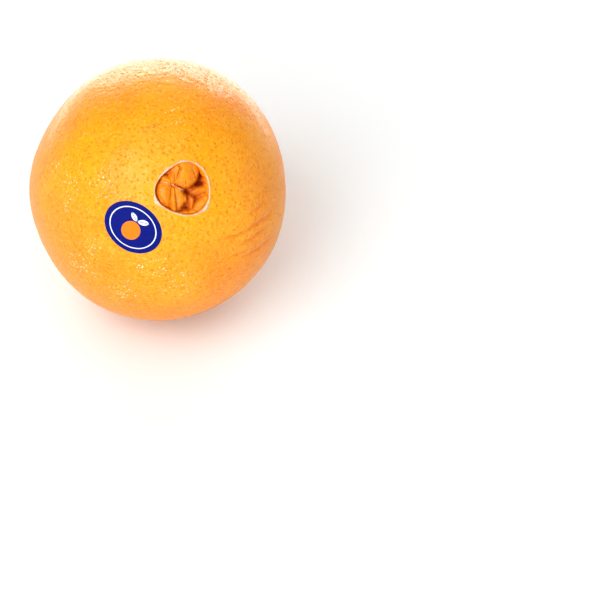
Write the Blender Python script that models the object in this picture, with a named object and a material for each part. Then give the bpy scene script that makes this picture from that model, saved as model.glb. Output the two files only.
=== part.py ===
"""A navel orange lying on its side, with its stem button and its oval fruit label.

Metres, +Z up. The origin is the middle of the small flat spot that the fruit rests on.
Each piece is worked out in the fruit's own frame, which has its centre in the middle of the
fruit and its +Z through the navel, and is then turned and lifted as one.
"""
import math

import bmesh
import bpy
import numpy as np
from mathutils import Matrix, Vector

# ---- the whole fruit ------------------------------------------------------------------
FRUIT_DIAMETER = 0.084          # across the middle, square to the axis from stem to navel
FRUIT_LENGTH = 0.083            # along that axis, before the dimple at the stem end
REST_SPOT_DIAMETER = 0.014      # the flat that the fruit stands on
NAVEL_LIFT = math.radians(45)   # how far the navel end points above the horizontal
NAVEL_TURN = math.radians(15)   # how far it turns from straight ahead (-Y) towards +X

# Broad swells and hollows of the skin, all angles in degrees:
# turn about the axis, angle from the navel, height as a share of the radius, spread
SWELLS = (
    (72, 84, 0.034, 24),
    (118, 84, 0.010, 15),
    (150, 88, -0.022, 15),
    (205, 88, -0.026, 16),
    (2, 84, -0.014, 18),
    (-100, 84, 0.008, 20),
    (100, 140, 0.012, 28),
    (-20, 130, 0.010, 26),
    (-160, 125, 0.012, 24),
    (40, 36, 0.006, 18),
    (-120, 40, 0.006, 20),
)

# ---- the navel ------------------------------------------------------------------------
NAVEL_WIDTH = 0.0168            # mean width of the opening
# Its outline is a circle with gentle waves: number round the circle, share, turn of a crest
NAVEL_WAVES = ((1, 0.050, -26), (2, 0.030, 12), (3, 0.062, 71))
NAVEL_DEPTH = 0.0034            # deepest crevice between the lobes
NAVEL_WALL_DEPTH = 0.0013       # drop from the rim to the lobes beside it
NAVEL_WALL_SHARE = 0.06         # width of that wall, as a share of the opening's radius

# The lobes that fill the navel: middle (right, up) and reach as shares of the opening's
# mean radius, then how far the crown stays under the skin, as a share of the navel's depth
LOBES = (
    (-0.27, 0.56, 0.42, 0.30),
    (0.23, 0.50, 0.66, 0.10),
    (0.75, 0.43, 0.36, 0.42),
    (0.60, -0.10, 0.46, 0.34),
    (0.37, -0.49, 0.40, 0.42),
    (0.77, -0.53, 0.40, 0.24),
    (-0.12, -0.42, 0.58, 0.18),
    (-0.65, -0.24, 0.50, 0.20),
    (-0.60, 0.38, 0.48, 0.24),
)

# ---- the stem end ---------------------------------------------------------------------
STEM_DIMPLE_DEPTH = 0.0032
STEM_DIMPLE_RADIUS = 0.0095     # where the dimple has faded to about a third of its depth
CALYX_RADIUS = 0.0042           # mean radius of the five-lobed calyx
CALYX_THICKNESS = 0.0011
CALYX_EDGE_HEIGHT = 0.0005      # the calyx thins to this at its edge
SEPALS = 5
SEPAL_REACH = 0.14              # how far the sepals stand out past the mean, as a share
STUB_RADIUS = 0.0016            # the cut end of the stem
STUB_HEIGHT = 0.0010            # how far it stands out of the calyx

# ---- the label ------------------------------------------------------------------------
LABEL_LENGTH = 0.0192
LABEL_WIDTH = 0.0154
LABEL_THICKNESS = 0.00015
LABEL_ANGLE = math.radians(27.5)  # from the navel's middle to the label's
LABEL_TURN = math.radians(-141)   # which way round the axis it lies
LABEL_SLANT = math.radians(-31)   # its long axis, from level, falling to the right

SEAT_GAP = 0.0003               # clearance under what sits on the skin

# ---- how finely each piece is divided --------------------------------------------------
FRUIT_TURNS = 80
FRUIT_RINGS = 28
END_BUNCHING = 0.5              # rings crowd towards the navel and the stem by this share
NAVEL_RINGS = 13
CALYX_TURNS = 40
LABEL_TURNS = 40
LABEL_RINGS = 5
SHARP_ANGLE = math.radians(50)
SEARCH_STEPS = 400              # from pole to pole, in finding the fruit's lowest point


# ---- the skin -------------------------------------------------------------------------
def directions(angle, turn):
    """Unit directions from the fruit's centre, by angle from the navel and turn about the axis."""
    angle, turn = np.broadcast_arrays(angle, turn)
    across = np.sin(angle)
    return np.stack([across * np.cos(turn), across * np.sin(turn), np.cos(angle)], axis=-1)


def skin_radius(toward):
    """Distance from the fruit's centre to the skin, before the navel: an oval with swells."""
    across = np.hypot(toward[..., 0], toward[..., 1])
    along = toward[..., 2]
    oval = 1 / np.hypot(2 * across / FRUIT_DIAMETER, 2 * along / FRUIT_LENGTH)
    swell = np.zeros_like(oval)
    for turn, angle, height, spread in np.array(SWELLS):
        middle = directions(np.radians(angle), np.radians(turn))
        swell += height * np.exp((toward @ middle - 1) / np.radians(spread) ** 2)
    from_stem = FRUIT_LENGTH / 2 * np.arccos(np.clip(-along, -1, 1))
    dimple = STEM_DIMPLE_DEPTH * np.exp(-(from_stem / STEM_DIMPLE_RADIUS) ** 2)
    return oval * (1 + swell) - dimple


def on_skin(toward, height):
    """Points a given height above the skin, in each direction from the fruit's centre."""
    return toward * (skin_radius(toward) + height)[..., None]


# ---- the navel ------------------------------------------------------------------------
def opening_radius(turn):
    """Radius of the navel's opening along the skin: a circle with three gentle waves."""
    waves = sum(share * np.cos(number * (turn - math.radians(crest)))
                for number, share, crest in NAVEL_WAVES)
    return NAVEL_WIDTH / 2 * (1 + waves)


def navel_height(share, turn):
    """Height inside the opening, below the skin: domed lobes meet in crevices, walled round."""
    away = share * opening_radius(turn) / (NAVEL_WIDTH / 2)
    right, up = away * np.cos(turn), away * np.sin(turn)
    lobes = np.full(share.shape, -NAVEL_DEPTH)
    for lobe_right, lobe_up, reach, sink in LOBES:
        off_crown = np.hypot(right - lobe_right, up - lobe_up) / reach
        lobes = np.maximum(lobes, -NAVEL_DEPTH * (sink + (1 - sink) * off_crown ** 2))
    wall = np.clip((1 - share) / NAVEL_WALL_SHARE, 0, 1)
    return wall * np.minimum(lobes, -NAVEL_WALL_DEPTH * (share > 1 - 2 * NAVEL_WALL_SHARE))


# ---- making bodies --------------------------------------------------------------------
def closed_body(name, first, rings, last):
    """Rings of points, closed by one point at each end, as a mesh with its faces outward."""
    count, turns = rings.shape[:2]
    points = np.concatenate([first[None], rings.reshape(-1, 3), last[None]])
    around = np.arange(turns)
    onward = (around + 1) % turns
    faces = []
    for ring in range(count - 1):
        near, far = 1 + ring * turns, 1 + (ring + 1) * turns
        faces += np.stack([near + around, far + around, far + onward, near + onward], 1).tolist()
    end, tail = len(points) - 1, 1 + (count - 1) * turns
    faces += [(0, 1 + a, 1 + b) for a, b in zip(around.tolist(), onward.tolist())]
    faces += [(end, tail + b, tail + a) for a, b in zip(around.tolist(), onward.tolist())]
    mesh = bpy.data.meshes.new(name)
    mesh.from_pydata(points.tolist(), [], faces)
    shape = bmesh.new()
    shape.from_mesh(mesh)
    bmesh.ops.recalc_face_normals(shape, faces=shape.faces)
    shape.to_mesh(mesh)
    shape.free()
    return mesh


def material(name, colour, roughness):
    """A plain finish in linear colour; nothing on the fruit is metal."""
    finish = bpy.data.materials.new(name)
    finish.use_nodes = True
    shader = finish.node_tree.nodes["Principled BSDF"]
    shader.inputs["Base Color"].default_value = (*colour, 1)
    shader.inputs["Roughness"].default_value = roughness
    shader.inputs["Metallic"].default_value = 0
    return finish


def add_piece(mesh, finish, frame):
    """One named sub-part in the fruit's frame, shaded smooth except at its sharp edges."""
    mesh.materials.append(finish)
    mesh.shade_smooth()
    mesh.set_sharp_from_angle(angle=SHARP_ANGLE)
    piece = bpy.data.objects.new(mesh.name, mesh)
    piece.parent = frame
    bpy.context.scene.collection.objects.link(piece)
    return piece


# ---- the pieces -----------------------------------------------------------------------
def fruit_mesh():
    """The fruit: rings from the navel's middle over its rim and round to the stem end."""
    turn = np.linspace(0, 2 * math.pi, FRUIT_TURNS, endpoint=False)
    rim_angle = opening_radius(turn) / (FRUIT_LENGTH / 2)
    share = np.linspace(0, 1 - NAVEL_WALL_SHARE, NAVEL_RINGS)[1:, None] + np.zeros_like(turn)
    inside = on_skin(directions(share * rim_angle, turn), navel_height(share, turn))
    step = np.linspace(0, 1, FRUIT_RINGS, endpoint=False)[:, None]
    step = step - END_BUNCHING * np.sin(2 * math.pi * step) / (2 * math.pi)
    outside = directions(rim_angle + step * (math.pi - rim_angle), turn)
    rings = np.concatenate([inside, on_skin(outside, np.zeros(outside.shape[:2]))])
    centre = navel_height(np.zeros(1), np.zeros(1))
    navel_middle = on_skin(directions(np.zeros(1), 0), centre)[0]
    stem_end = on_skin(directions(np.full(1, math.pi), 0), np.zeros(1))[0]
    return closed_body("orange_fruit", navel_middle, rings, stem_end)


def lowest_skin(down):
    """The point of the skin that lies furthest along one direction, in the fruit's frame."""
    angle = np.linspace(0, math.pi, SEARCH_STEPS)[:, None]
    turn = np.linspace(0, 2 * math.pi, 2 * SEARCH_STEPS, endpoint=False)
    toward = directions(angle, turn)
    skin = on_skin(toward, np.zeros(toward.shape[:2])).reshape(-1, 3)
    return Vector(skin[np.argmax(skin @ np.array(down))])


def rest_spot(down):
    """Middle of the flat: under the lowest skin, as high as makes the flat its full width."""
    lowest = lowest_skin(down)
    round_radius, flat_radius = lowest.length, REST_SPOT_DIAMETER / 2
    rise = round_radius - math.sqrt(round_radius ** 2 - flat_radius ** 2)
    return lowest - down * rise


def cut_rest_spot(mesh, down, middle):
    """Trim the fruit square to one direction, and close the cut with one flat face."""
    shape = bmesh.new()
    shape.from_mesh(mesh)
    everything = [*shape.verts, *shape.edges, *shape.faces]
    bmesh.ops.bisect_plane(shape, geom=everything, plane_co=middle, plane_no=down,
                           clear_outer=True)
    rim = [edge for edge in shape.edges if edge.is_boundary]
    bmesh.ops.holes_fill(shape, edges=rim)
    shape.to_mesh(mesh)
    shape.free()


def stem_mesh():
    """The five-lobed calyx, seated in the dimple, with the cut stub of the stem on it."""
    turn = np.linspace(0, 2 * math.pi, CALYX_TURNS, endpoint=False)
    calyx = CALYX_RADIUS * (1 + SEPAL_REACH * np.cos(SEPALS * turn))
    stub = np.full_like(turn, STUB_RADIUS)
    calyx_top = SEAT_GAP + CALYX_THICKNESS
    halfway = (stub + calyx) / 2
    profile = (
        (stub, calyx_top + STUB_HEIGHT),
        (stub, calyx_top),
        (halfway, SEAT_GAP + (CALYX_THICKNESS + CALYX_EDGE_HEIGHT) / 2),
        (calyx, SEAT_GAP + CALYX_EDGE_HEIGHT),
        (calyx, SEAT_GAP),
        (halfway, SEAT_GAP),
    )
    rings = []
    for reach, height in profile:
        toward = directions(math.pi - reach / (FRUIT_LENGTH / 2), turn)
        rings.append(on_skin(toward, np.full(turn.shape, height)))
    pole = directions(np.full(1, math.pi), 0)
    top = on_skin(pole, np.full(1, calyx_top + STUB_HEIGHT))[0]
    under = on_skin(pole, np.full(1, SEAT_GAP))[0]
    return closed_body("stem_button", top, np.array(rings), under)


def label_mesh():
    """The oval label: a thin sheet that follows the skin at an even gap."""
    middle = directions(LABEL_ANGLE, LABEL_TURN)
    level = np.array([1, 0, 0]) - middle * middle[0]
    level /= np.linalg.norm(level)
    upward = np.cross(middle, level)
    along = math.cos(LABEL_SLANT) * level + math.sin(LABEL_SLANT) * upward
    across = np.cross(middle, along)
    turn = np.linspace(0, 2 * math.pi, LABEL_TURNS, endpoint=False)
    skin_here = float(skin_radius(middle[None])[0])

    def ring(share, height):
        right = share * LABEL_LENGTH / 2 * np.cos(turn)
        up = share * LABEL_WIDTH / 2 * np.sin(turn)
        reach = np.hypot(right, up)[:, None]
        way = (right[:, None] * along + up[:, None] * across) / reach
        toward = np.cos(reach / skin_here) * middle + np.sin(reach / skin_here) * way
        return on_skin(toward, np.full(turn.shape, height))

    shares = np.linspace(0, 1, LABEL_RINGS + 1)[1:]
    face = SEAT_GAP + LABEL_THICKNESS
    rings = [ring(share, face) for share in shares] + [ring(share, SEAT_GAP) for share in shares[::-1]]
    ends = [on_skin(middle[None], np.full(1, height))[0] for height in (face, SEAT_GAP)]
    return closed_body("fruit_label", ends[0], np.array(rings), ends[1])


def fruit_turning():
    """The fruit frame's turn: +Z through the navel, +X as level with the ground's +X as it can be."""
    level = math.cos(NAVEL_LIFT)
    axis = Vector((level * math.sin(NAVEL_TURN), -level * math.cos(NAVEL_TURN), math.sin(NAVEL_LIFT)))
    right = (Vector((1, 0, 0)) - axis * axis.x).normalized()
    return Matrix((right, axis.cross(right), axis)).transposed()


def build():
    for thing in list(bpy.data.objects):
        bpy.data.objects.remove(thing)

    turning = fruit_turning()
    down = turning.inverted() @ Vector((0, 0, -1))
    spot = rest_spot(down)

    frame = bpy.data.objects.new("fruit_frame", None)
    frame.matrix_world = turning.to_4x4() @ Matrix.Translation(-spot)
    bpy.context.scene.collection.objects.link(frame)

    fruit = fruit_mesh()
    cut_rest_spot(fruit, down, spot)
    add_piece(fruit, material("orange_skin", (0.95, 0.40, 0.02), 0.42), frame)
    add_piece(stem_mesh(), material("stem_wood", (0.26, 0.22, 0.11), 0.8), frame)
    add_piece(label_mesh(), material("label_paper", (0.004, 0.012, 0.25), 0.35), frame)


build()
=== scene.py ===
"""The looks of a navel orange: pored skin, the lobes in its navel, stem button and label."""
import math

import bmesh
import bpy
import numpy as np
from mathutils import Matrix, Vector


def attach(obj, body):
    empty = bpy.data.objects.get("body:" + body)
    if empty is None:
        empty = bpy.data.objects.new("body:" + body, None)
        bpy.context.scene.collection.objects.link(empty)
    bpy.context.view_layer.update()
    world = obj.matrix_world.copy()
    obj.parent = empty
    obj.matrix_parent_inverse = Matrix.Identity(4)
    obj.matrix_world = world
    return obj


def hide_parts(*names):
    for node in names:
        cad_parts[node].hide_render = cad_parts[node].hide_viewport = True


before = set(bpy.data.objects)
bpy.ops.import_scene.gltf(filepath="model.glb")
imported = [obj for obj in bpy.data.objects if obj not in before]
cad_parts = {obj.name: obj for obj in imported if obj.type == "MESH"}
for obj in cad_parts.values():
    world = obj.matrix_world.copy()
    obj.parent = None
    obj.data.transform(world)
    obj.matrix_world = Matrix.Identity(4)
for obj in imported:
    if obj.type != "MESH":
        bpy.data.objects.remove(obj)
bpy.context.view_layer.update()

MM = 0.001

# ---- the fruit's form, as the solids have it --------------------------------------------
FRUIT_DIAMETER = 84 * MM
FRUIT_LENGTH = 83 * MM
REST_SPOT_DIAMETER = 14 * MM
NAVEL_LIFT = math.radians(45)
NAVEL_TURN = math.radians(15)

# Swells: turn about the axis and angle from the navel in degrees, height as a share of the
# radius, spread in degrees
SWELLS = (
    (72, 84, 0.034, 24),
    (118, 84, 0.010, 15),
    (150, 88, -0.022, 15),
    (205, 88, -0.026, 16),
    (2, 84, -0.014, 18),
    (-100, 84, 0.008, 20),
    (100, 140, 0.012, 28),
    (-20, 130, 0.010, 26),
    (-160, 125, 0.012, 24),
    (40, 36, 0.006, 18),
    (-120, 40, 0.006, 20),
)
# The opening's mean radius, and the waves of its outline: times round, share of the radius,
# turn of the crest in degrees. Both are rounded from a least-squares fit to 13 points.
NAVEL_RADIUS = 8.4 * MM
NAVEL_WAVES = ((1, 0.050, -26), (2, 0.030, 12), (3, 0.062, 71))
STEM_DIMPLE_DEPTH = 3.2 * MM
STEM_DIMPLE_RADIUS = 9.5 * MM
CALYX_RADIUS = 4.2 * MM
SEPALS = 5
STUB_RADIUS = 1.6 * MM
LABEL_LENGTH = 19.2 * MM
LABEL_WIDTH = 15.4 * MM
LABEL_ANGLE = math.radians(27.5)
LABEL_TURN = math.radians(-141)
LABEL_SLANT = math.radians(-31)
POLE_RADIUS = FRUIT_LENGTH / 2
SEARCH_STEPS = 400

# ---- what the finished surface adds -----------------------------------------------------
SKIN_SINK = 0.18 * MM           # the skin's mean level under the solid's, room for pebbles
PORE_PITCH = 1.45 * MM
PORE_DEPTH = 0.06 * MM
PEBBLE_HEIGHT = 0.28 * MM
ROLL_HEIGHT = 0.24 * MM
LIP_HEIGHT = 0.16 * MM          # the rolled edge of the navel's opening
WALL_WIDTH = 0.45 * MM          # how far in the wall under the opening leans
CAVITY_DEPTH = 5.2 * MM         # the cavity's floor, behind the lobes
NAVEL_BACK = 4.3 * MM           # how far under the skin the lobes' piece is closed
REST_SOFTNESS = 0.15 * MM       # how soft the skin's turn into the flat is
REST_LEVEL = 0.02 * MM          # the flat's height above the ground

GRID = 128                      # squares along each edge of the six-sided grid


# ---- shader and texture nodes -----------------------------------------------------------
class Wire:
    """One node output. Arithmetic on it adds Math nodes to the same tree."""

    def __init__(self, graph, socket):
        self.graph, self.socket = graph, socket

    def math(self, operation, *others):
        """A Math node that takes this output first, then the others."""
        inputs = dict(enumerate((self, *others)))
        return self.graph.node("ShaderNodeMath", {"operation": operation}, inputs)

    def __add__(self, other):
        return self.math("ADD", other)

    def __sub__(self, other):
        return self.math("SUBTRACT", other)

    def __rsub__(self, other):
        return self.graph.node("ShaderNodeMath", {"operation": "SUBTRACT"}, {0: other, 1: self})

    def __mul__(self, other):
        return self.math("MULTIPLY", other)

    def __truediv__(self, other):
        return self.math("DIVIDE", other)

    def __pow__(self, other):
        return self.math("POWER", other)

    def __abs__(self):
        return self.math("ABSOLUTE")

    __radd__, __rmul__ = __add__, __mul__

    def ramp(self, low, high):
        """0 at low and 1 at high, with a soft start and end; low may be the larger."""
        ends = (low, high, 0, 1) if low < high else (high, low, 1, 0)
        inputs = {0: self, **dict(enumerate(ends, start=1))}
        return self.graph.node("ShaderNodeMapRange", {"interpolation_type": "SMOOTHSTEP"}, inputs)


class Graph:
    """A node tree that is written as expressions."""

    def __init__(self, tree):
        self.tree = tree

    def node(self, kind, settings=None, inputs=None, output=0):
        """Add a node: its settings first, then its sockets' values or links; gives one output."""
        made = self.tree.nodes.new(kind)
        for name, value in (settings or {}).items():
            setattr(made, name, value)
        for key, value in (inputs or {}).items():
            if isinstance(value, Wire):
                self.tree.links.new(value.socket, made.inputs[key])
            else:
                made.inputs[key].default_value = value
        return Wire(self, made.outputs[output])

    def noise(self, place, size, detail=2.0, rough=0.5):
        """Soft noise, mostly 0.3 to 0.7, whose features are about one size across."""
        inputs = {"Vector": place, "Scale": 1 / size, "Detail": detail, "Roughness": rough}
        return self.node("ShaderNodeTexNoise", None, inputs)

    def cells(self, place, size):
        """Distance to the nearest of many scattered points, in cell sizes."""
        return self.node("ShaderNodeTexVoronoi", None, {"Vector": place, "Scale": 1 / size})

    def blend(self, mask, low, high):
        """A colour that goes from low to high as the mask goes from 0 to 1."""
        inputs = {0: mask, 6: low, 7: high}
        return self.node("ShaderNodeMix", {"data_type": "RGBA"}, inputs, 2)

    def vector(self, operation, *values, output=0):
        """Vector Math on the values in their order."""
        inputs = dict(enumerate(values))
        return self.node("ShaderNodeVectorMath", {"operation": operation}, inputs, output)

    def scaled(self, vector, amount):
        """The vector times a number."""
        inputs = {0: vector, "Scale": amount}
        return self.node("ShaderNodeVectorMath", {"operation": "SCALE"}, inputs)

    def shifted(self, place, *offset):
        """The place moved by a fixed step, which gives a pattern of its own."""
        return self.vector("ADD", place, offset)

    def jittered(self, place, size, amount):
        """The place moved about by noise, so that what is read there has a wavering edge."""
        inputs = {"Vector": place, "Scale": 1 / size, "Detail": 1.0}
        spread = self.node("ShaderNodeTexNoise", None, inputs, 1)
        step = self.vector("SUBTRACT", spread, (0.5, 0.5, 0.5))
        return self.vector("ADD", place, self.scaled(step, amount))

    def attribute(self, name):
        """A number that the piece's mesh keeps at each of its points."""
        return self.node("ShaderNodeAttribute", {"attribute_name": name}, None, "Fac")


def read_fields(points, *fields):
    """What texture fields give at points: the same nodes as the finishes, run on bare points."""
    mesh = bpy.data.meshes.new("field_points")
    mesh.from_pydata(points.reshape(-1, 3).tolist(), [], [])
    carrier = bpy.data.objects.new("field_points", mesh)
    bpy.context.scene.collection.objects.link(carrier)
    tree = bpy.data.node_groups.new("fields", "GeometryNodeTree")
    for way in ("INPUT", "OUTPUT"):
        tree.interface.new_socket("Geometry", in_out=way, socket_type="NodeSocketGeometry")
    graph = Graph(tree)
    shape = graph.node("NodeGroupInput")
    place = graph.node("GeometryNodeInputPosition")
    for number, field in enumerate(fields):
        inputs = {"Geometry": shape, "Name": f"field{number}", "Value": field(graph, place)}
        shape = graph.node("GeometryNodeStoreNamedAttribute", None, inputs)
    end = tree.nodes.new("NodeGroupOutput")
    tree.links.new(shape.socket, end.inputs[0])
    carrier.modifiers.new("fields", "NODES").node_group = tree
    found = carrier.evaluated_get(bpy.context.evaluated_depsgraph_get()).data
    values = []
    for number in range(len(fields)):
        value = np.empty(len(found.vertices), np.float32)
        found.attributes[f"field{number}"].data.foreach_get("value", value)
        values.append(value.reshape(points.shape[:-1]).astype(float))
    bpy.data.objects.remove(carrier)
    bpy.data.meshes.remove(mesh)
    bpy.data.node_groups.remove(tree)
    return values


# ---- texture fields that both the meshes and the finishes read --------------------------
def pores(graph, place):
    """Oil glands: 1 in the middle of each pore, 0 on the skin between them."""
    large = graph.cells(place, PORE_PITCH).ramp(0.40, 0.13)
    small = graph.cells(graph.shifted(place, 0.3, 0.1, 0.7), 0.8 * PORE_PITCH).ramp(0.32, 0.10)
    return large.math("MAXIMUM", small * 0.6)


def pebbles(graph, place):
    """Bumps a little wider than the pores: noise about zero."""
    return graph.noise(place, 2.4 * MM, 1.5) - 0.5


def rolls(graph, place):
    """The broad unevenness of the rind: wide noise about zero."""
    return graph.noise(graph.shifted(place, 0.5, 0.2, 0.1), 13 * MM, 1.0) - 0.5


# ---- the fruit's form -------------------------------------------------------------------
def directions(angle, turn):
    """Unit directions from the fruit's centre, by angle from the navel and turn about the axis."""
    angle, turn = np.broadcast_arrays(angle, turn)
    across = np.sin(angle)
    return np.stack([across * np.cos(turn), across * np.sin(turn), np.cos(angle)], axis=-1)


def skin_radius(toward):
    """Distance from the fruit's centre to the smooth skin, before the navel.

    Radius = oval x (1 + the sum of bell-shaped swells) - a bell-shaped dimple at the stem end.
    """
    across = np.hypot(toward[..., 0], toward[..., 1])
    along = toward[..., 2]
    oval = 1 / np.hypot(2 * across / FRUIT_DIAMETER, 2 * along / FRUIT_LENGTH)
    swell = np.zeros_like(oval)
    for turn, angle, height, spread in np.array(SWELLS):
        middle = directions(np.radians(angle), np.radians(turn))
        swell += height * np.exp((toward @ middle - 1) / np.radians(spread) ** 2)
    from_stem = POLE_RADIUS * np.arccos(np.clip(-along, -1, 1))
    dimple = STEM_DIMPLE_DEPTH * np.exp(-(from_stem / STEM_DIMPLE_RADIUS) ** 2)
    return oval * (1 + swell) - dimple


def fruit_turning():
    """The fruit frame's turn: +Z through the navel, +X as near the ground's +X as it can be."""
    level = math.cos(NAVEL_LIFT)
    axis = Vector((level * math.sin(NAVEL_TURN), -level * math.cos(NAVEL_TURN),
                   math.sin(NAVEL_LIFT)))
    right = (Vector((1, 0, 0)) - axis * axis.x).normalized()
    return Matrix((right, axis.cross(right), axis)).transposed()


def rest_spot(down):
    """Middle of the flat, above the lowest skin by as much as makes the flat its full width.

    That height = radius there - the root of its square less the square of the half width.
    """
    angle = np.linspace(0, math.pi, SEARCH_STEPS)[:, None]
    turn = np.linspace(0, 2 * math.pi, 2 * SEARCH_STEPS, endpoint=False)
    toward = directions(angle, turn)
    skin = (toward * skin_radius(toward)[..., None]).reshape(-1, 3)
    lowest = skin[np.argmax(skin @ down)]
    radius = np.linalg.norm(lowest)
    return lowest - down * (radius - math.sqrt(radius ** 2 - (REST_SPOT_DIAMETER / 2) ** 2))


TURNING = np.array(fruit_turning())
SPOT = rest_spot(TURNING.T @ (0, 0, -1))
CENTRE = -TURNING @ SPOT


def to_ground(points):
    """Points from the fruit's own frame to the frame that it stands in."""
    return (points - SPOT) @ TURNING.T


def pattern_place(toward):
    """Where the textures are read: on an even sphere, so that depth doesn't change them."""
    return CENTRE + POLE_RADIUS * (toward @ TURNING.T)


def opening_waves(turn):
    """Share that the opening's radius gains: a cosine of once, twice and three times the turn."""
    return sum(share * np.cos(number * (turn - math.radians(crest)))
               for number, share, crest in NAVEL_WAVES)


def soft_step(value):
    """0 below 0, 1 above 1, and three times the square less twice the cube between them."""
    value = np.clip(value, 0, 1)
    return value * value * (3 - 2 * value)


def flatten_under(points):
    """Press what would lie below the flat up to it, with a soft turn into it.

    Pressed height = half of the height plus the root of its square plus the softness squared.
    """
    height = points[..., 2] - REST_LEVEL
    pressed = 0.5 * (height + np.sqrt(height ** 2 + REST_SOFTNESS ** 2))
    points[..., 2] = np.where(height < 4 * REST_SOFTNESS, pressed, height) + REST_LEVEL
    return points


# ---- making pieces ----------------------------------------------------------------------
def grid_faces(rows, columns, start=0, closed=False):
    """Four-sided faces over a grid of points; a closed grid's last column meets its first."""
    row = np.arange(rows - 1)[:, None]
    column = np.arange(columns if closed else columns - 1)
    onward = (column + 1) % columns
    corners = np.stack([row * columns + column + 0 * row, (row + 1) * columns + column,
                        (row + 1) * columns + onward, row * columns + onward], axis=-1)
    return start + corners.reshape(-1, 4)


def closed_faces(rows, columns):
    """Faces of a closed skin over rings of points, with a fan to a tip at each end.

    The tips are the two points that follow the rings.
    """
    ring = np.arange(columns)
    onward = (ring + 1) % columns
    first = np.full(columns, rows * columns)
    end = (rows - 1) * columns
    fans = np.concatenate([np.stack([first, ring, onward], axis=-1),
                           np.stack([first + 1, end + onward, end + ring], axis=-1)])
    return grid_faces(rows, columns, closed=True).tolist() + fans.tolist()


def add_piece(name, points, faces, node, finish, attributes):
    """A closed piece, its doubles merged, that rides on the fruit and stands for a node."""
    mesh = bpy.data.meshes.new(name)
    mesh.from_pydata(points.reshape(-1, 3).tolist(), [], faces)
    for title, values in attributes.items():
        layer = mesh.attributes.new(title, "FLOAT", "POINT")
        layer.data.foreach_set("value", values.ravel().astype(np.float32))
    shape = bmesh.new()
    shape.from_mesh(mesh)
    bmesh.ops.remove_doubles(shape, verts=shape.verts, dist=0.001 * MM)
    bmesh.ops.recalc_face_normals(shape, faces=shape.faces)
    shape.to_mesh(mesh)
    shape.free()
    mesh.shade_smooth()
    mesh.materials.append(finish)
    piece = bpy.data.objects.new(name, mesh)
    bpy.context.scene.collection.objects.link(piece)
    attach(piece, "root")
    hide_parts(node)
    return piece


# ---- the skin ---------------------------------------------------------------------------
# Where the loops round the navel fall: share of the way out, angle in opening radii. Those
# round the stem end have their angle in degrees.
NAVEL_LOOPS = ((0, 0), (0.09, 0.80), (0.12, 0.93), (0.20, 0.985), (0.31, 1.05), (0.38, 1.20),
               (0.47, 1.55))
STEM_LOOPS = ((0, 0), (0.5, 14.5), (1, 45))


def pole_face(right, up, pole, loop_angle):
    """Directions over a grid whose loops go from circles at the pole to the square outside.

    Each square loop of the grid becomes a circle, at the angle that loop_angle gives, and
    eases over the outer half into the even grid that the four side faces have.
    """
    step = np.linspace(-1, 1, GRID + 1)
    u, v = np.meshgrid(step, step, indexing="ij")
    loop = np.maximum(np.abs(u), np.abs(v))
    flat = np.maximum(loop, 1e-9)
    side, rise = u / flat, v / flat
    quarter = math.pi / 4
    turn = np.where(np.abs(u) >= np.abs(v),
                    np.where(u > 0, quarter * rise, math.pi - quarter * rise),
                    np.where(v > 0, 2 * quarter - quarter * side, quarter * side - 2 * quarter))
    even = np.stack([np.tan(u * quarter), np.tan(v * quarter)])
    square_turn = np.arctan2(even[1], even[0])
    square_angle = np.arctan(np.hypot(even[0], even[1]))
    outward = soft_step(2 * loop - 1)
    navel_glow_and_tone = (square_turn - turn + math.pi) % (2 * math.pi) - math.pi
    turn = turn + outward * navel_glow_and_tone
    angle = loop_angle(loop, turn)
    angle = angle + outward * (square_angle - angle)
    toward = directions(angle, turn)
    return toward @ np.array([right, up, pole], float)


def navel_loop_angle(loop, turn):
    """Loops keep the opening's outline near it, and lose it further out.

    Angle = opening radii read from NAVEL_LOOPS x (1 + the outline's waves, faded outwards).
    """
    knots = np.array([*NAVEL_LOOPS, (1, math.radians(45) * POLE_RADIUS / NAVEL_RADIUS)])
    radii = np.interp(loop, *knots.T)
    outline = 1 + opening_waves(turn) * (1 - soft_step((radii - 1.3) / 1.7))
    return radii * outline * NAVEL_RADIUS / POLE_RADIUS


def stem_loop_angle(loop, turn):
    """Loops are circles whose angles widen steadily, first finely and then faster."""
    return np.radians(np.interp(loop, *np.array(STEM_LOOPS).T))


def side_face(right, up, outward):
    """A grid of directions over one side of the six-sided fruit.

    Direction = the side's axis + tangents of even angles, from -45 to 45 degrees, across it.
    """
    step = np.tan(np.linspace(-1, 1, GRID + 1) * math.pi / 4)
    u, v = np.meshgrid(step, step, indexing="ij")
    toward = np.stack([u, v, np.ones_like(u)], axis=-1) @ np.array([right, up, outward], float)
    return toward / np.linalg.norm(toward, axis=-1, keepdims=True)


def skin_directions():
    """The six grids: navel end, stem end and the four sides."""
    x, y, z = np.eye(3)
    return np.stack([
        pole_face(x, y, z, navel_loop_angle),
        pole_face(y, x, -z, stem_loop_angle),
        side_face(y, z, x),
        side_face(-y, z, -x),
        side_face(-x, z, y),
        side_face(x, z, -y),
    ])


# Shallow creases in the skin: start and end as (right, up) from the navel's middle in its
# own frame, in degrees, then width and depth in millimetres
CREASES = (
    ((19, -23), (34, -19), 0.80, 0.32),
    ((30, -20), (50, -11), 0.85, 0.42),
    ((28, -27), (47, -18), 0.70, 0.34),
    ((33, -11), (44, -6), 0.65, 0.24),
    ((33, -33), (55, -25), 0.70, 0.36),
    ((22, -33), (36, -29), 0.65, 0.24),
)
# Where pale flecks are painted as glints of the wax: middle (right, up) and reach, in degrees
GLINT_PATCHES = (
    (-50, 5, 7), (-54, -7, 6), (-62, 11, 5), (-40, -29, 6), (-35, 2, 7), (-48, -40, 8),
    (-12, -36, 8), (-5, -31, 3), (2, -46, 9), (-24, -54, 10), (-2, 33, 6), (60, -50, 10),
    (70, 60, 12), (-90, 70, 11), (20, 110, 12), (-60, -110, 12), (110, -70, 9),
)


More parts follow.
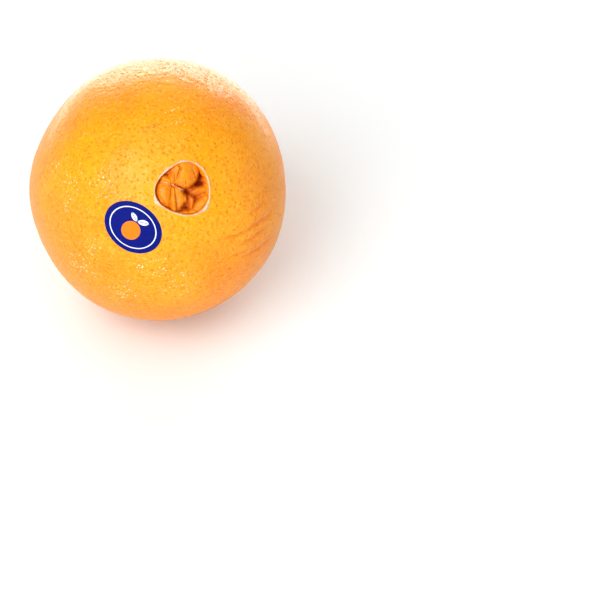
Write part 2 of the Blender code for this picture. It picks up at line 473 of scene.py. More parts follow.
def tangent_place(right, up):
    """A direction so many degrees to the right of the navel's middle and above it."""
    reach = np.hypot(right, up)
    return directions(np.radians(reach), np.arctan2(up, right))


def creases(toward):
    """Depth of the creases: each is a soft groove about a wavering stretch of great circle."""
    depth = np.zeros(toward.shape[:-1])
    for start, end, width, deep in CREASES:
        first, last = tangent_place(*start), tangent_place(*end)
        along = last - first
        share = np.clip((toward - first) @ along / (along @ along), 0, 1)
        waver = 0.014 * np.sin(8 * share + 40 * deep) + 0.006 * np.sin(23 * share)
        nearest = first + share[..., None] * along + waver[..., None] * np.cross(first, last)
        nearest /= np.linalg.norm(nearest, axis=-1, keepdims=True)
        away = POLE_RADIUS * np.linalg.norm(toward - nearest, axis=-1)
        taper = np.sin(math.pi * np.clip(share, 0.02, 0.98)) ** 0.5
        depth = np.maximum(depth, deep * MM * taper * np.exp(-(away / (width * MM)) ** 2))
    return depth


def glint_spread(toward):
    """How strongly the glint flecks are painted: 1 in the middle of a patch, fading outwards as a
    bell curve.
    """
    glinting = np.zeros(toward.shape[:-1])
    for right, up, reach in GLINT_PATCHES:
        away = np.degrees(np.arccos(np.clip(toward @ tangent_place(right, up), -1, 1)))
        glinting = np.maximum(glinting, np.exp(-(away / reach) ** 2))
    return glinting


# Where the rim is broader: turn and spread in degrees, and extra width in millimetres
RIM_PATCHES = ((135, 16, 0.55), (206, 13, 0.75), (320, 17, 0.60), (92, 14, 0.28), (262, 12, 0.20))


def rim_width(turn):
    """Width of the corky rim in millimetres: two small sines, plus bell curves at patches."""
    width = 0.13 + 0.05 * np.sin(9 * turn) + 0.04 * np.sin(17 * turn + 1)
    for middle, spread, extra in RIM_PATCHES:
        away = (np.degrees(turn) - middle + 180) % 360 - 180
        width += extra * np.exp(-(away / spread) ** 2)
    return width


def stem_furrows(toward):
    """Uneven furrows that run out from the stem button and fade over the shoulder.

    Depth = the square of 1 less a sine's size, about a wandering turn, times a bell curve.
    """
    turn = np.arctan2(toward[..., 1], toward[..., 0])
    reach = POLE_RADIUS * np.arccos(np.clip(-toward[..., 2], -1, 1))
    wander = turn + 0.35 * np.sin(2 * turn + 0.6) + 0.12 * np.sin(5 * turn)
    fold = 1 - np.abs(np.sin(4.5 * wander + 0.3 * np.sin(3 * turn)))
    fade = soft_step((reach / MM - 3) / 3) * np.exp(-(reach / (11 * MM)) ** 2)
    return 0.42 * MM * fold ** 2 * fade


def skin_level(toward):
    """The skin's level against the smooth form, before pebbles and pores."""
    return -SKIN_SINK + ROLL_HEIGHT * read_fields(pattern_place(toward), rolls)[0]


def make_skin():
    """Radius = form + rolls + pebbles - pores - creases and furrows, with the navel's rim.

    At the opening the skin rolls up into a low lip, then drops down the cavity's wall.
    """
    toward = skin_directions()
    angle = np.arccos(np.clip(toward[..., 2], -1, 1))
    turn = np.arctan2(toward[..., 1], toward[..., 0])
    opening = NAVEL_RADIUS * (1 + opening_waves(turn))
    from_rim = POLE_RADIUS * angle - opening
    pebble, pore = read_fields(pattern_place(toward), pebbles, pores)
    outside = soft_step(from_rim / (1.2 * MM))
    lip = LIP_HEIGHT * np.exp(-((from_rim - 0.20 * MM) / (0.35 * MM)) ** 2)
    drop = CAVITY_DEPTH * soft_step(-from_rim / WALL_WIDTH)
    groove = creases(toward)
    height = (skin_level(toward) + lip - drop - groove - stem_furrows(toward)
              + outside * (PEBBLE_HEIGHT * pebble - PORE_DEPTH * pore))
    points = flatten_under(to_ground(toward * (skin_radius(toward) + height)[..., None]))
    faces = np.concatenate([grid_faces(GRID + 1, GRID + 1, side * (GRID + 1) ** 2)[:, ::-1]
                            for side in range(len(toward))])
    measures = {"from_rim": from_rim / MM, "past_cork": from_rim / MM - rim_width(turn),
                "from_stem": POLE_RADIUS * (math.pi - angle) / MM, "glinting": glint_spread(toward),
                "creased": groove / MM}
    return add_piece("orange_skin", points, faces.tolist(), "orange_fruit",
                     skin_finish(), measures)


# ---- the navel --------------------------------------------------------------------------
NAVEL_TURNS = 300
NAVEL_RINGS = 110
LOBE_DROP = 1.2                 # millimetres down from a lobe's crest, one width away from it
LOBE_FLOOR = 3.4                # the deepest that the crevices go, in millimetres

# Lobes: a crest from one place to another (right, up) and a width, in opening radii, then
# the height of the crest at both ends against the skin, in millimetres
LOBES = (
    ((0.05, 0.84), (0.09, 0.42), 0.47, -0.05, -0.25),
    ((0.46, 0.78), (0.56, 0.50), 0.25, -0.75, -1.30),
    ((0.40, 0.42), (0.44, 0.26), 0.22, -1.10, -1.40),
    ((-0.12, 0.25), (0.06, 0.14), 0.15, -0.70, -0.75),
    ((-0.28, 0.74), (-0.38, 0.36), 0.20, -1.30, -0.55),
    ((-0.68, 0.36), (-0.50, 0.31), 0.14, -0.30, -0.50),
    ((-0.68, 0.00), (-0.63, -0.45), 0.29, -0.55, -0.55),
    ((-0.36, -0.04), (-0.31, -0.80), 0.12, -0.60, -0.35),
    ((-0.10, -0.10), (0.00, -0.62), 0.31, -0.75, -0.85),
    ((0.38, -0.32), (0.41, -0.70), 0.17, -1.50, -1.35),
    ((0.40, -0.14), (0.90, -0.04), 0.19, -1.70, -1.00),
    ((0.90, 0.52), (0.86, 0.32), 0.10, -1.50, -1.30),
    ((0.62, -0.76), (0.94, -0.36), 0.20, -0.35, -0.15),
    ((0.02, -0.93), (0.52, -0.86), 0.10, -0.75, -0.40),
    ((0.95, 0.45), (1.00, -0.15), 0.10, -0.50, -0.35),
)
# Crevices between the lobes: start, end, width in opening radii, depth in millimetres
CREVICES = (
    ((0.10, -0.08), (0.18, -0.12), 0.130, 2.6),
    ((0.20, -0.03), (0.60, 0.17), 0.075, 1.6),
    ((0.55, 0.16), (0.95, 0.25), 0.085, 2.1),
    ((0.66, 0.22), (0.86, 0.80), 0.095, 2.2),
    ((0.13, -0.62), (0.02, -0.86), 0.110, 2.1),
    ((0.14, -0.64), (0.27, -0.82), 0.070, 1.6),
    ((0.18, -0.14), (0.60, -0.38), 0.060, 1.2),
    ((0.22, -0.14), (0.24, -0.60), 0.045, 1.2),
    ((0.45, -0.70), (0.56, -0.48), 0.045, 0.9),
    ((0.56, -0.48), (0.78, -0.29), 0.050, 1.1),
    ((0.78, -0.29), (0.95, -0.18), 0.040, 0.6),
    ((-0.15, 0.93), (-0.05, 0.74), 0.045, 1.0),
    ((-0.05, 0.78), (-0.20, 0.38), 0.040, 0.9),
    ((-0.26, 0.16), (0.05, -0.01), 0.040, 1.3),
    ((-0.42, -0.04), (-0.50, -0.66), 0.030, 0.35),
    ((-0.84, -0.35), (-0.56, -0.76), 0.060, 0.5),
    ((0.145, 0.31), (0.125, 0.15), 0.025, 0.50),
    ((0.24, 0.36), (0.36, 0.38), 0.018, 0.28),
)
# The dried fibre's route over the lobes, in opening radii, and its half-width
FIBRE = (
    (-0.80, 0.27), (-0.51, 0.19), (-0.37, 0.15), (-0.24, 0.07), (-0.07, -0.01), (0.04, -0.04),
)
FIBRE_WIDTH = 0.024
SEAM_WIDTH = 0.14               # height between two lobes at which their seam fades
SEAM_DEPTH = 0.25
TUCK_TURN = math.radians(205)
BACK_DEPTH = 4                  # millimetres: what the unseen back counts as, so that it takes the painted crevice shadow


def off_segment(right, up, start, end):
    """Distance from a straight stretch, and the share of the way along it."""
    along = np.subtract(end, start)
    share = ((right - start[0]) * along[0] + (up - start[1]) * along[1]) / (along @ along)
    share = np.clip(share, 0, 1)
    return np.hypot(right - start[0] - share * along[0], up - start[1] - share * along[1]), share


def lobe_heights(right, up):
    """Heights in millimetres: each lobe falls away from its crest, and the highest one shows.

    A lobe falls by LOBE_DROP times the 1.7th power of widths away from its crest. Also gives
    how far the second highest is below, which is small where two lobes meet.
    """
    heights = []
    for start, end, width, first, last in LOBES:
        off, share = off_segment(right, up, start, end)
        heights.append(first + (last - first) * share - LOBE_DROP * (off / width) ** 1.7)
    ranked = np.sort(np.stack(heights), axis=0)
    return ranked[-1], ranked[-1] - ranked[-2]


def crevice_depth(right, up):
    """Sum of the crevices in millimetres: bell-shaped grooves, deepest half way along."""
    depth = np.zeros_like(right)
    for start, end, width, deep in CREVICES:
        off, share = off_segment(right, up, start, end)
        depth += deep * np.exp(-(off / width) ** 2) * np.sin(math.pi * np.clip(share, 0.2, 0.8))
    return depth


def fibre_mask(right, up):
    """1 along the dried fibre, falling to 0 beside it as a bell curve."""
    fibre = np.zeros_like(right)
    for start, end in zip(FIBRE, FIBRE[1:]):
        off, _ = off_segment(right, up, start, end)
        fibre = np.maximum(fibre, np.exp(-(off / FIBRE_WIDTH) ** 2))
    return fibre


def navel_relief(right, up, place):
    """Heights in millimetres: lobes - seams - crevices, eased to the floor, + fibre and grain.

    Small noise moves the places that each is read at, so that no edge runs straight. Also
    gives the seams where lobes meet, and the fibre, from 0 to 1.
    """
    gentle, fine, pore = read_fields(
        place, lambda graph, at: graph.noise(at, 2.2 * MM, 1.0) - 0.5,
        lambda graph, at: graph.noise(at, 0.7 * MM, 2.0) - 0.5, pores)
    height, apart = lobe_heights(right + 0.07 * gentle, up - 0.07 * gentle)
    seam = np.exp(-apart / SEAM_WIDTH)
    height = height - SEAM_DEPTH * seam - crevice_depth(right + 0.05 * fine, up - 0.05 * fine)
    height = -LOBE_FLOOR * np.tanh(-height / LOBE_FLOOR)
    fibre = fibre_mask(right + 0.06 * fine, up + 0.10 * fine)
    height += 0.22 * fibre + 0.35 * gentle + 0.14 * fine - 0.06 * pore
    return height, seam, fibre


def make_navel():
    """A disc of lobes that fills the opening and is closed behind, inside the cavity.

    Rings are shares of the opening's outline, a little wider than it. The outer rings tuck
    down, most of all on the side of the opening that TUCK_TURN names.
    """
    turn = np.linspace(0, 2 * math.pi, NAVEL_TURNS, endpoint=False)
    share = np.linspace(0, 1, NAVEL_RINGS + 1)[1:, None]
    radius = 1.03 * share * (1 + opening_waves(turn))
    toward = directions(radius * NAVEL_RADIUS / POLE_RADIUS, turn)
    height, seam, fibre = navel_relief(radius * np.cos(turn), radius * np.sin(turn),
                                       pattern_place(toward))
    tuck = soft_step((share - 0.90) / 0.07) * (0.25 + 0.45 * np.cos(turn - TUCK_TURN))
    height -= np.maximum(tuck, 0)
    level = skin_level(toward) + height * MM
    front = toward * (skin_radius(toward) + level)[..., None]

    inner = directions(0.5 * radius[-1] * NAVEL_RADIUS / POLE_RADIUS, turn)
    back = np.stack([toward[-1], inner])
    back = back * (skin_radius(back) - NAVEL_BACK)[..., None]
    pole = directions(np.zeros(2), 0)
    ends = pole * (skin_radius(pole) + np.array([level[0].mean(), -NAVEL_BACK]))[:, None]
    points = to_ground(np.concatenate([front.reshape(-1, 3), back.reshape(-1, 3), ends]))

    behind = np.zeros(len(points) - height.size)
    measures = {"seam": np.concatenate([seam.ravel(), behind]),
                "fibre": np.concatenate([fibre.ravel(), behind]),
                "depth": np.concatenate([-height.ravel(), behind + BACK_DEPTH])}
    return add_piece("navel_lobes", points, closed_faces(NAVEL_RINGS + len(back), NAVEL_TURNS),
                     "orange_fruit", navel_finish(), measures)


# ---- the label --------------------------------------------------------------------------
LABEL_TURNS = 160
LABEL_RINGS = 48
LABEL_LIFT = 0.09 * MM          # how far its top stands over the skin that it lies on
LABEL_THICKNESS = 0.144 * MM


def make_label():
    """A thin oval sheet that follows the skin's rolls and lies on its pebbles.

    Rings run out over its top, round its edge and back underneath. A point lies as far from
    the label's middle along the skin as it does on the flat label.
    """
    middle = directions(LABEL_ANGLE, LABEL_TURN)
    level = np.array([1, 0, 0]) - middle * middle[0]
    level /= np.linalg.norm(level)
    along = math.cos(LABEL_SLANT) * level + math.sin(LABEL_SLANT) * np.cross(middle, level)
    across = np.cross(middle, along)
    turn = np.linspace(0, 2 * math.pi, LABEL_TURNS, endpoint=False)
    share = np.linspace(0, 1, LABEL_RINGS + 1)[1:]
    share = np.concatenate([share, [1.004, 1.004], share[::-1]])[:, None]
    sunk = np.concatenate([np.zeros(LABEL_RINGS), [0.3, 0.7], np.ones(LABEL_RINGS)])[:, None]
    right = share * LABEL_LENGTH / 2 * np.cos(turn)
    up = share * LABEL_WIDTH / 2 * np.sin(turn)
    reach = np.hypot(right, up)[..., None]
    way = (right[..., None] * along + up[..., None] * across) / reach
    bend = reach / skin_radius(middle[None])
    toward = np.cos(bend) * middle + np.sin(bend) * way

    pebble = read_fields(pattern_place(toward), pebbles)[0]
    top = PEBBLE_HEIGHT * (0.75 * pebble + 0.16) + LABEL_LIFT
    height = skin_level(toward) + top - sunk * LABEL_THICKNESS
    rings = toward * (skin_radius(toward) + height)[..., None]
    ends = np.stack([middle, middle])
    end_heights = skin_level(ends) + top[0].mean() - np.array([0, LABEL_THICKNESS])
    ends = ends * (skin_radius(ends) + end_heights)[:, None]
    points = to_ground(np.concatenate([rings.reshape(-1, 3), ends]))
    measures = {"print_right": np.append(right.ravel(), (0, 0)) / MM,
                "print_up": np.append(up.ravel(), (0, 0)) / MM}
    return add_piece("label_sheet", points, closed_faces(len(share), LABEL_TURNS),
                     "fruit_label", label_finish(), measures)


# ---- the stem button --------------------------------------------------------------------
BUTTON_TURNS = 200


def button_body(name, profile, finish):
    """A closed body about the stem end, from rings of (reach along the skin, height) arrays."""
    turn = np.linspace(0, 2 * math.pi, BUTTON_TURNS, endpoint=False)
    reach = np.stack([ring[0] + 0 * turn for ring in profile])
    height = np.stack([ring[1] + 0 * turn for ring in profile])
    toward = directions(math.pi - reach / POLE_RADIUS, turn)
    rings = toward * (skin_radius(toward) - SKIN_SINK + height)[..., None]
    pole = directions(np.full(2, math.pi), 0)
    end_heights = height[[0, -1]].mean(axis=1)
    ends = pole * (skin_radius(pole) - SKIN_SINK + end_heights)[:, None]
    points = to_ground(np.concatenate([rings.reshape(-1, 3), ends]))
    measures = {"reach": np.append(reach.ravel(), (0, 0)) / MM,
                "height": np.append(height.ravel(), end_heights) / MM}
    return add_piece(name, points, closed_faces(len(profile), BUTTON_TURNS), "stem_button",
                     finish, measures)


def make_calyx():
    """Five dry sepals: a star with wrinkles along it, thin and curled at the tips.

    The star is a circle plus cosines of the turn. Its rings rise as a dome with a dip about
    the stub, turn round the edge and go back underneath.
    """
    turn = np.linspace(0, 2 * math.pi, BUTTON_TURNS, endpoint=False)
    star = 1 + 0.14 * np.cos(SEPALS * turn) + 0.03 * np.cos(7 * turn + 1) + 0.02 * np.cos(13 * turn)
    outline = CALYX_RADIUS * star
    wrinkle = 0.5 + 0.5 * np.cos(31 * turn + 2 * np.cos(3 * turn))
    tip = soft_step(np.cos(SEPALS * turn))
    profile = []
    for share in np.linspace(0.02, 1, 40):
        dome = 0.95 - 0.45 * share - 0.25 * math.exp(-((share - 0.42) / 0.1) ** 2)
        curl = 0.35 * tip * soft_step((share - 0.7) / 0.3)
        crease = 0.10 * wrinkle * soft_step((share - 0.3) / 0.2)
        profile.append((share * outline, (dome + curl - crease) * MM))
    profile.append((1.01 * outline, (0.30 + 0.30 * tip) * MM))
    for share in (1.0, 0.85, 0.6, 0.3):
        profile.append((share * outline, (0.15 * share * tip - 0.15) * MM))
    return button_body("stem_calyx", profile, calyx_finish())


def make_stub():
    """The cut stem: a short ribbed post with a rough, slightly hollow cut face.

    Its edge is a circle plus cosines of the turn. Its rings cross the cut face, turn down
    over the edge and flare towards the sepals.
    """
    turn = np.linspace(0, 2 * math.pi, BUTTON_TURNS, endpoint=False)
    ribs = 1 + 0.04 * np.cos(9 * turn + 1) + 0.05 * np.cos(2 * turn) + 0.02 * np.cos(23 * turn)
    edge = STUB_RADIUS * ribs
    saw = 0.04 * np.cos(turn * 6 + 1) + 0.03 * np.cos(turn * 17)
    profile = []
    for share in np.linspace(0.05, 0.92, 16):
        ring = 0.05 * math.cos(share * 22)
        profile.append((share * edge, (1.95 + 0.12 * share ** 2 + ring + saw * share) * MM))
    profile += [(0.98 * edge, (2.03 + saw) * MM), (1.03 * edge, (1.9 + saw) * MM)]
    for share in np.linspace(0.9, 0, 8):
        flare = 1 + 0.22 * (1 - share) ** 2
        profile.append((flare * edge, (0.55 + 1.3 * share) * MM))
    profile.append((0.5 * edge, 0.5 * MM))
    return button_body("stem_stub", profile, stub_finish())


# ---- finishes ---------------------------------------------------------------------------
def colour(red, green, blue):
    """A colour by its linear parts, as a socket takes it."""
    return (red, green, blue, 1.0)


def new_finish(name, constants):
    """A material with one Principled shader; gives its graph, the shader and the place."""
    finish = bpy.data.materials.new(name)
    finish.use_nodes = True
    shader = finish.node_tree.nodes["Principled BSDF"]
    for title, value in constants.items():
        shader.inputs[title].default_value = value
    graph = Graph(finish.node_tree)
    here = graph.node("ShaderNodeTexCoord", None, None, "Object")
    return finish, graph, shader, here


def even_place(graph, here):
    """The place drawn onto an even sphere about the fruit's middle."""
    outward = graph.vector("NORMALIZE", graph.vector("SUBTRACT", here, tuple(CENTRE)))
    return graph.vector("ADD", graph.scaled(outward, POLE_RADIUS), tuple(CENTRE))


def finish_with(graph, shader, base, roughness, height, wax=None):
    """Feed the shader: a base colour, a roughness, a relief in metres and, on rind, its wax."""
    feed = graph.tree.links.new
    feed(base.socket, shader.inputs["Base Color"])
    feed(roughness.socket, shader.inputs["Roughness"])
    inputs = {"Strength": 1.0, "Distance": 1.0, "Height": height}
    relief = graph.node("ShaderNodeBump", None, inputs)
    feed(relief.socket, shader.inputs["Normal"])
    if wax is not None:
        feed(wax.socket, shader.inputs["Coat Weight"])


RIND = colour(0.94, 0.350, 0.003)
# Away from the navel the rind goes towards this deeper orange: painted shade outside the key
# light's glow, and random deeper tone.
RIND_DEEP_AND_SHADED = colour(0.90, 0.250, 0.002)
RIND_PALE = colour(0.95, 0.440, 0.012)
# Darker, redder orange painted into the pores' pits and the creases as shade.
PIT_SHADE = colour(0.86, 0.190, 0.002)
# Pale grain specks painted as glints of the wax.
GRAIN_GLINT = colour(0.97, 0.66, 0.17)
# Pale flecks painted as glints of the wax on the pebbles.
GLINT_FLECK = colour(0.96, 0.80, 0.56)
CORK = colour(0.80, 0.58, 0.42)
CORK_GREY = colour(0.60, 0.47, 0.42)
SCUFF = colour(0.38, 0.17, 0.05)
STEM_GREEN = colour(0.62, 0.34, 0.010)
NAVEL_RIND = colour(0.74, 0.205, 0.002)
# Paler rind for the navel: random mottle, and painted light on the lobes' crowns.
NAVEL_PALE_AND_LIT = colour(0.86, 0.320, 0.008)
# Painted shade deeper down between the lobes, and painted shadow deepest in the crevices and on the
# unseen back.
NAVEL_SHADE = colour(0.50, 0.070, 0.001)
NAVEL_CREVICE_SHADOW = colour(0.15, 0.008, 0.001)
DRY_FIBRE = colour(0.62, 0.54, 0.46)
NAVY = colour(0.0008, 0.005, 0.15)
NAVY_WORN = colour(0.0016, 0.008, 0.19)
PRINT_ORANGE = colour(0.90, 0.20, 0.01)
PRINT_PALE = colour(0.80, 0.82, 0.86)
SEPAL_GREY = colour(0.13, 0.11, 0.030)
SEPAL_GREEN = colour(0.27, 0.24, 0.10)
SEPAL_FLAKE = colour(0.40, 0.33, 0.19)
SEPAL_EDGE = colour(0.10, 0.055, 0.02)
BARK = colour(0.12, 0.075, 0.035)
BARK_PALE = colour(0.26, 0.19, 0.10)
WOOD = colour(0.36, 0.24, 0.12)
WOOD_PALE = colour(0.55, 0.42, 0.25)
WOOD_RING = colour(0.16, 0.09, 0.04)
PITH = colour(0.62, 0.52, 0.36)

WAXED = {
    "IOR": 1.45,
    "Specular IOR Level": 0.12,
    "Subsurface Weight": 0.15,
    "Subsurface Radius": (1.0, 0.35, 0.10),
    "Subsurface Scale": 2.0 * MM,
    "Coat Roughness": 0.19,
    "Coat IOR": 1.6,
}
WAX = 0.22                      # weight of the wax on even skin


def rind_colour(graph, place, from_rim):
    """Yellower about the navel, a painted highlight where the key light's glow falls, and deeper
    beyond, over random tone; mottled between the pores; darker and redder in them, as painted
    shade.
    """
    # Painted highlight: the rind is yellower towards the navel, where the key light's glow falls,
    # and deeper orange further out; the noise adds random tone.
    navel_glow_and_tone = (graph.noise(place, 24 * MM, 2.0) - from_rim * 0.011).ramp(0.02, 0.46)
    mottle = graph.noise(graph.shifted(place, 0.2, 0.9, 0.4), 1.2 * MM, 3.0, 0.6).ramp(0.44, 0.72)
    pore = pores(graph, place)
    base = graph.blend(navel_glow_and_tone, RIND_DEEP_AND_SHADED, RIND)
    base = graph.blend(mottle * 0.4, base, RIND_PALE)
    # Painted shade: the pores' pits are darker and redder.
    return graph.blend(pore * 0.52, base, PIT_SHADE), pore, mottle


def skin_finish():
    """Waxed rind with pores, pale flecks and grain painted as glints, painted shade in the pores
    and creases, a few scuffs, and a corky rim round the navel.
    """
    finish, graph, shader, here = new_finish("waxed_rind", WAXED)
    place = even_place(graph, here)
    names = ("from_rim", "past_cork", "from_stem", "glinting", "creased")
    from_rim, past_cork, from_stem, glinting, creased = (graph.attribute(name) for name in names)
    base, pore, mottle = rind_colour(graph, place, from_rim)

    # Glint flecks, painted pale where the wax would glint, crowded in the listed patches.
    glint_crowd = graph.noise(graph.shifted(place, 0.1, 0.3, 0.8), 4 * MM, 2.0) * glinting
    glint_crowd = glint_crowd.ramp(0.12, 0.42)
    ragged = graph.noise(place, 1.6 * MM, 3.0, 0.7)
    glint_speck_place = graph.jittered(place, 0.7 * MM, 1.3 * MM)
    glint_speck = graph.cells(graph.shifted(glint_speck_place, 0.6, 0.5, 0.2), 1.15 * MM).ramp(0.26, 0.14)
    glint_speck = glint_speck * (glint_crowd + ragged.ramp(0.52, 0.72) * 0.40)
    # Pale grain specks painted as glints of the wax; the grain's rise is real relief.
    glint_grain = graph.noise(graph.shifted(place, 0.4, 0.6, 0.5), 0.75 * MM, 2.0, 0.6).ramp(0.50, 0.78)
    base = graph.blend(glint_grain * 0.34, base, GRAIN_GLINT)
    base = graph.blend(glint_speck, base, GLINT_FLECK)

    # Painted shade: the creases are darker and redder.
    base = graph.blend(creased.ramp(0.02, 0.34) * 0.75, base, PIT_SHADE)
    spoiled = graph.noise(graph.shifted(place, 0.7, 0.4, 0.3), 16 * MM, 3.0, 0.6).ramp(0.66, 0.72)
    torn = graph.noise(place, 0.6 * MM, 2.0).ramp(0.48, 0.62)
    base = graph.blend(spoiled * torn * 0.7, base, SCUFF)

    shoulder = from_stem.ramp(13.0, 4.5)
    base = graph.blend(shoulder * 0.55, base, STEM_GREEN)

    rim = from_rim.ramp(-0.14, 0.0) * (past_cork - (ragged - 0.5) * 1.1).ramp(0.14, -0.06)
    cork = graph.blend(torn, CORK, CORK_GREY)
    base = graph.blend(rim * 0.9, base, cork)

    roughness = 0.40 + mottle * 0.10 + rim * 0.30
    fine = graph.noise(place, 0.5 * MM, 2.0, 0.6)
    height = (graph.noise(place, 1.3 * MM, 2.0) * (0.23 * MM) + fine * (0.035 * MM)
              - pore * (0.17 * MM) + glint_speck * (0.05 * MM) + glint_grain * (0.05 * MM)
              + rim * (ragged * (0.25 * MM)))
    glaze = graph.noise(graph.shifted(place, 0.9, 0.2, 0.6), 0.9 * MM, 2.0, 0.6).ramp(0.38, 0.64)
    wax = WAX * 0.5 + glaze * WAX - rim * 0.30 - pore * 0.24 - glint_speck * 0.1
    finish_with(graph, shader, base, roughness, height, wax)
    return finish


def navel_finish():
    """Rind of the inner fruit: finer, paler on the crowns as painted light, darker in the crevices
    and seams as painted shade, with a pale dried fibre.
    """
    finish, graph, shader, here = new_finish("navel_rind", WAXED)
    place = even_place(graph, here)
    seam, fibre, depth = (graph.attribute(name) for name in ("seam", "fibre", "depth"))
    mottle = graph.noise(place, 1.0 * MM, 3.0, 0.6).ramp(0.40, 0.70)
    pore = pores(graph, place)
    # Painted light: the lobes' crowns, nearer the skin, are paler; the mottle is random tone.
    base = graph.blend(mottle * 0.6 + depth.ramp(0.8, 0.1) * 0.4, NAVEL_RIND, NAVEL_PALE_AND_LIT)
    # Painted shade and shadow: the deeper between the lobes, the darker.
    base = graph.blend(depth.ramp(0.9, 2.2) * 0.85, base, NAVEL_SHADE)
    base = graph.blend(depth.ramp(1.9, 3.0), base, NAVEL_CREVICE_SHADOW)
    # Painted shade along the seams where the lobes meet.
    base = graph.blend(seam.ramp(0.5, 1.0) * 0.25, base, NAVEL_SHADE)
    dry = graph.noise(place, 0.8 * MM, 3.0, 0.7)
    base = graph.blend(fibre.ramp(0.4, 0.8) * dry.ramp(0.44, 0.54), base, DRY_FIBRE)
    roughness = 0.42 + mottle * 0.1 + fibre * 0.3
    height = (graph.noise(place, 0.9 * MM, 2.0) * (0.05 * MM) - pore * (0.04 * MM)
              + graph.noise(place, 0.35 * MM, 2.0) * (0.012 * MM))
    wax = 0.24 - fibre * 0.2 - depth.ramp(0.8, 2.5) * 0.2
    finish_with(graph, shader, base, roughness, height, wax)
    return finish


def leaf(right, up, middle, lean, half_length, half_width):
    """A pointed leaf shape as a mask, with a thin line left out along its middle."""
    lean = math.radians(lean)
    dx, dy = right - middle[0], up - middle[1]
    along = (dx * math.cos(lean) + dy * math.sin(lean)) / half_length
    across = abs(dy * math.cos(lean) - dx * math.sin(lean))
    edge = (1 - along * along) * half_width
    body = (edge - across).ramp(-0.04, 0.04)
    beside_vein = across.ramp(0.05, 0.12)
    return body * beside_vein


def label_finish():
    """Navy print with a thin pale oval line, a plain orange disc and two plain leaves."""
    constants = {"IOR": 1.35, "Specular IOR Level": 0.12}
    finish, graph, shader, here = new_finish("printed_label", constants)
    right, up = graph.attribute("print_right"), graph.attribute("print_up")
    place = even_place(graph, here)
    oval = ((right / (LABEL_LENGTH / 2 / MM)) ** 2 + (up / (LABEL_WIDTH / 2 / MM)) ** 2) ** 0.5
    line = abs(oval - 0.80).ramp(0.024, 0.012)
    from_disc = (right * right + (up + 1.0) * (up + 1.0)) ** 0.5
    disc = from_disc.ramp(3.05, 2.95)
    leaves = leaf(right, up, (1.75, 3.35), 24, 1.9, 0.85).math(
        "MAXIMUM", leaf(right, up, (-1.55, 3.20), 154, 1.7, 0.75))
    ink = graph.noise(place, 0.35 * MM, 2.0)
    navy = graph.blend(ink.ramp(0.3, 0.7), NAVY, NAVY_WORN)
    base = graph.blend(disc, navy, PRINT_ORANGE)
    pale = line.math("MAXIMUM", leaves)
    base = graph.blend(pale, base, PRINT_PALE)
    roughness = 0.52 + ink * 0.10
    height = pores(graph, place) * (-0.012 * MM) + ink * (0.004 * MM)
    finish_with(graph, shader, base, roughness, height)
    return finish


def calyx_finish():
    """Dry sepals: grey-green with brown wrinkles and dark edges."""
    finish, graph, shader, here = new_finish("dry_calyx", {"IOR": 1.4})
    reach = graph.attribute("reach")
    broad = graph.noise(here, 1.8 * MM, 3.0, 0.6).ramp(0.35, 0.65)
    fine = graph.noise(here, 0.35 * MM, 3.0, 0.7)
    base = graph.blend(broad, SEPAL_GREY, SEPAL_GREEN)
    base = graph.blend(fine.ramp(0.52, 0.70) * 0.7, base, SEPAL_FLAKE)
    base = graph.blend(reach.ramp(3.4, 4.6) * 0.8, base, SEPAL_EDGE)
    roughness = 0.72 + fine * 0.2
    finish_with(graph, shader, base, roughness, fine * (0.12 * MM) + broad * (0.05 * MM))
    return finish


def stub_finish():
    """Cut stem: grey-brown bark, and a tan cut face with a dark ring and a pale pith."""
    finish, graph, shader, here = new_finish("cut_stem", {"IOR": 1.4})
    reach, height = graph.attribute("reach"), graph.attribute("height")
    fine = graph.noise(here, 0.22 * MM, 3.0, 0.7)
    bark = graph.blend(fine.ramp(0.4, 0.6), BARK, BARK_PALE)
    wood = graph.blend(fine.ramp(0.4, 0.62), WOOD, WOOD_PALE)
    ring = abs(reach - 1.15).ramp(0.22, 0.06)
    wood = graph.blend(ring * 0.7, wood, WOOD_RING)
    pith = reach.ramp(0.45, 0.30)
    wood = graph.blend(pith * 0.8, wood, PITH)
    face = height.ramp(1.84, 1.92) * reach.ramp(1.62, 1.5)
    base = graph.blend(face, bark, wood)
    finish_with(graph, shader, base, 0.78 + fine * 0.15, fine * (0.10 * MM))
    return finish


# ---- the setting ------------------------------------------------------------------------
VIEW_LIFT = math.radians(45)
VIEW_DISTANCE = 0.733
VIEW_TARGET = (0, 0, 41.5 * MM)
VIEW_PLACE = (-0.0624, 0.0484)  # where the target lies in the view: left of the middle, above it
LENS = 135
SENSOR_WIDTH = 36


def look_from(thing, spot, target):
    """Place a camera or light at a spot, turned towards a target."""
    thing.location = spot
    away = Vector(spot) - Vector(target)
    thing.rotation_euler = away.to_track_quat("Z", "Y").to_euler()


def make_camera():
    """The camera looks straight at the fruit, then swings to bring it to its place in view."""
    lens = bpy.data.cameras.new("camera")
    lens.lens = LENS
    lens.sensor_width = SENSOR_WIDTH
    lens.clip_start = 0.01
    camera = bpy.data.objects.new("camera", lens)
    bpy.context.scene.collection.objects.link(camera)
    toward = Vector((0, -math.cos(VIEW_LIFT), math.sin(VIEW_LIFT)))
    look_from(camera, Vector(VIEW_TARGET) + VIEW_DISTANCE * toward, VIEW_TARGET)
    swing = Vector((*VIEW_PLACE, -1)).rotation_difference(Vector((0, 0, -1)))
    camera.rotation_euler = (camera.rotation_euler.to_quaternion() @ swing).to_euler()
    bpy.context.scene.camera = camera


def make_light(name, spot, width, height, radiance, target=tuple(CENTRE)):
    """A soft box, unseen by the camera. Power = its face's brightness times its area times pi."""
    light = bpy.data.lights.new(name, "AREA")
    light.shape = "RECTANGLE"
    light.size, light.size_y = width, height
    light.energy = radiance * math.pi * width * height
    lamp = bpy.data.objects.new(name, light)
    bpy.context.scene.collection.objects.link(lamp)
    look_from(lamp, spot, target)
    lamp.visible_camera = False


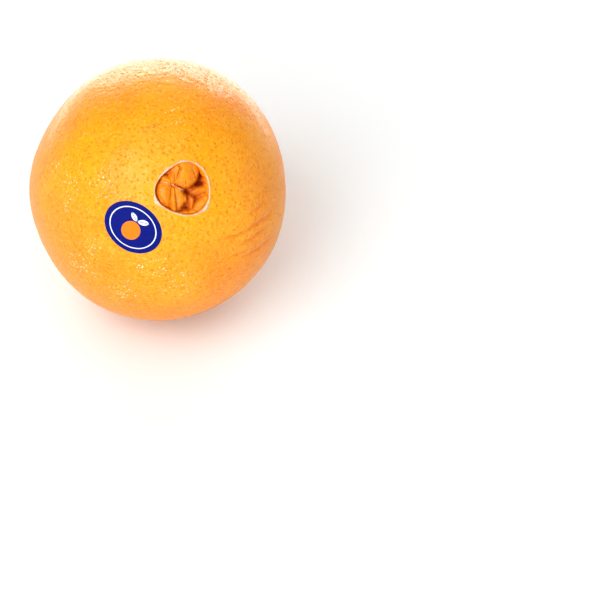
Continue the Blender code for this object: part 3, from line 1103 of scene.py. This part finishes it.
# Soft boxes: name, spot, width, height, radiance and, where it isn't the fruit, the target
SOFT_BOXES = (
    ("key", (-0.52, -0.52, 0.80), 0.80, 0.80, 3.9),
    ("top", (-0.05, -0.28, 1.15), 1.10, 1.00, 1.5),
    ("back", (0.03, 0.90, 0.21), 1.02, 0.38, 7.8),
    ("card", (0.01, 0.42, 0.004), 0.36, 0.60, 3.0, (0.01, 0.42, 1)),
    ("right", (1, -0.10, 0.45), 0.80, 0.70, 0.6),
    ("front", (-0.25, -0.97, 0.45), 0.90, 0.60, 2.8),
)
FLOOR_REACH = 3.0               # from the middle to each edge
FLOOR_PAINT = colour(0.86, 0.895, 0.895)
FLOOR_GLOW = colour(0.80, 0.80, 0.80)
WHITE = colour(1, 1, 1)
BLACK = colour(0, 0, 0)


def make_floor():
    """A pale floor that glows far out, where the lights don't reach."""
    mesh = bpy.data.meshes.new("floor")
    corners = [(-FLOOR_REACH, -FLOOR_REACH, 0), (FLOOR_REACH, -FLOOR_REACH, 0),
               (FLOOR_REACH, FLOOR_REACH, 0), (-FLOOR_REACH, FLOOR_REACH, 0)]
    mesh.from_pydata(corners, [], [(0, 1, 2, 3)])
    floor = bpy.data.objects.new("floor", mesh)
    bpy.context.scene.collection.objects.link(floor)
    constants = {"Base Color": FLOOR_PAINT, "Roughness": 0.9, "Specular IOR Level": 0.1,
                 "Emission Strength": 1.0}
    paint, graph, shader, here = new_finish("pale_floor", constants)
    out = graph.vector("DISTANCE", here, (0, 0, 0), output="Value")
    glow = graph.blend(out.ramp(0.42, 0.95), BLACK, FLOOR_GLOW)
    graph.tree.links.new(glow.socket, shader.inputs["Emission Color"])
    mesh.materials.append(paint)


def make_sky():
    """A white sky, brighter near the horizon than above."""
    world = bpy.data.worlds.new("sky")
    bpy.context.scene.world = world
    world.use_nodes = True
    graph = Graph(world.node_tree)
    outward = graph.node("ShaderNodeTexCoord", None, None, "Generated")
    rise = graph.node("ShaderNodeSeparateXYZ", None, {0: outward}, 2)
    shader = world.node_tree.nodes["Background"]
    shader.inputs["Color"].default_value = WHITE
    strength = rise.ramp(0.22, 0.10) * 0.8 + 0.17
    graph.tree.links.new(strength.socket, shader.inputs["Strength"])


def make_setting():
    """The floor, the sky and the soft boxes, shown without any change of tone."""
    make_floor()
    make_sky()
    for box in SOFT_BOXES:
        make_light(*box)
    bpy.context.scene.view_settings.view_transform = "Standard"


make_skin()
make_navel()
make_label()
make_calyx()
make_stub()
make_setting()
make_camera()
